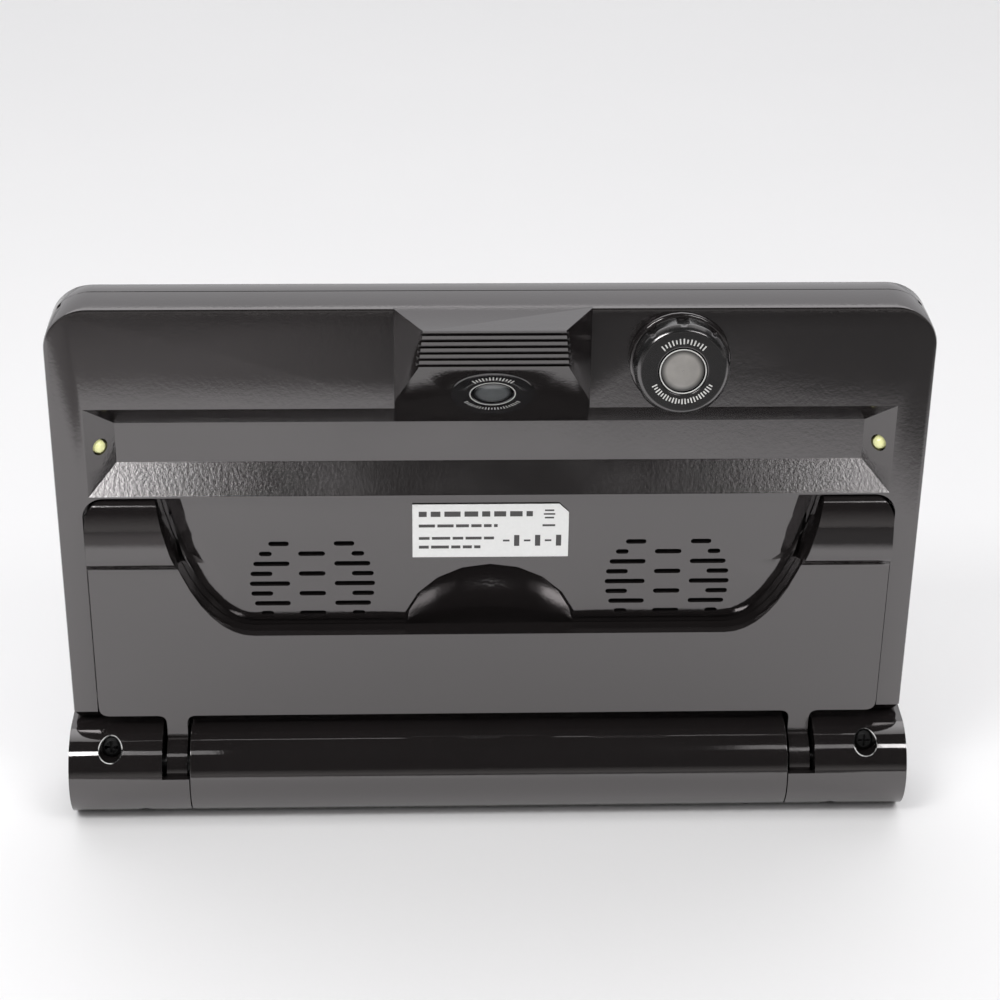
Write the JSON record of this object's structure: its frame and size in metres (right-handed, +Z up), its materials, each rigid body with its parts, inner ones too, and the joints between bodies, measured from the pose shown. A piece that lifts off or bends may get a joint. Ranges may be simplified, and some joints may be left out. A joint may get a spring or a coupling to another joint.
{
  "type": "video magnifier",
  "caption": "Portable electronic video magnifier for low vision: a flat screen unit standing on a round battery barrel, with a folding rear stand, near and far lenses and a lighting channel.",
  "frame": {"origin": "centre of the flat underside that the unit stands on", "axes": "+X along the screen's width and the hinge axis, -Y out of the rear (lens and stand side), +Y out of the screen, +Z up"},
  "size_m": [0.1974, 0.0266, 0.1292],
  "materials": {
    "gloss_black": "polished injection-moulded black ABS, fine moulding texture on the sloped faces",
    "satin_black": "satin black inner mouldings",
    "knob_black": "black focus ring with a satin printed face",
    "screen": "dark liquid crystal panel",
    "cover_glass": "clear cover glass",
    "lens_glass": "coated lens glass",
    "circuit_board": "green solder mask",
    "steel": "plated steel",
    "black_screw": "blackened steel screw",
    "cell_wrap": "heat-shrink cell wrap",
    "speaker": "paper cone in a steel basket",
    "led_resin": "pale yellow LED resin",
    "label": null,
    "key_white": "white key cap",
    "key_blue": "blue key cap",
    "key_yellow": "yellow key cap"
  },
  "bodies": {
    "case": {"rear_housing": "gloss_black", "front_bezel": "gloss_black", "lcd_panel": "screen", "display_glass": "cover_glass", "main_board": "circuit_board", "barrel_centre": "gloss_black", "rating_label": "label", "charging_socket": "steel", "headphone_socket": "steel", "hdmi_socket": "steel", "near_camera_module": "satin_black", "near_lens_disc": "lens_glass", "near_lens_glass": "lens_glass", "far_lens_collar": "gloss_black", "barrel_end_left": "gloss_black", "barrel_plug_left": "satin_black", "hinge_pin_left": "steel", "hinge_bracket_left": "steel", "battery_cell_left": "cell_wrap", "speaker_left": "speaker", "led_left": "led_resin", "button_board_left": "circuit_board", "rear_screw_left": "black_screw", "foot_screw_left": "black_screw", "barrel_end_right": "gloss_black", "barrel_plug_right": "satin_black", "hinge_pin_right": "steel", "hinge_bracket_right": "steel", "battery_cell_right": "cell_wrap", "speaker_right": "speaker", "led_right": "led_resin", "button_board_right": "circuit_board", "rear_screw_right": "black_screw", "foot_screw_right": "black_screw"},
    "stand": {"stand_plate": "gloss_black"},
    "focus_ring": {"far_lens_knob": "knob_black", "far_lens_glass": "lens_glass"},
    "power_key": {"power_button": "key_white"},
    "camera_switch_key": {"camera_switch_button": "key_white"},
    "freeze_key": {"freeze_button": "key_blue"},
    "colour_mode_key": {"colour_mode_button": "key_blue"},
    "zoom_in_key": {"zoom_in_button": "key_yellow"},
    "zoom_out_key": {"zoom_out_button": "key_yellow"}
  },
  "joints": [
    {"name": "stand_hinge", "type": "hinge", "parent": "case", "child": "stand", "pos_m": [0, -0.005, 0.01105], "axis": [1, 0, 0], "range_deg": [0, 65]},
    {"name": "far_focus", "type": "hinge", "parent": "case", "child": "focus_ring", "pos_m": [0.041, -0.0043, 0.1171], "axis": [0, -0.9945, 0.1045], "range_deg": [-90, 90]},
    {"name": "power_press", "type": "slide", "parent": "case", "child": "power_key", "axis": [0, -1, 0], "range_m": [0, 0.0007], "stiffness_N_per_m": 900},
    {"name": "camera_switch_press", "type": "slide", "parent": "case", "child": "camera_switch_key", "axis": [0, -1, 0], "range_m": [0, 0.0007], "stiffness_N_per_m": 900},
    {"name": "freeze_press", "type": "slide", "parent": "case", "child": "freeze_key", "axis": [0, -1, 0], "range_m": [0, 0.0007], "stiffness_N_per_m": 900},
    {"name": "colour_mode_press", "type": "slide", "parent": "case", "child": "colour_mode_key", "axis": [0, -1, 0], "range_m": [0, 0.0007], "stiffness_N_per_m": 900},
    {"name": "zoom_in_press", "type": "slide", "parent": "case", "child": "zoom_in_key", "axis": [0, -1, 0], "range_m": [0, 0.0007], "stiffness_N_per_m": 900},
    {"name": "zoom_out_press", "type": "slide", "parent": "case", "child": "zoom_out_key", "axis": [0, -1, 0], "range_m": [0, 0.0007], "stiffness_N_per_m": 900}
  ]
}
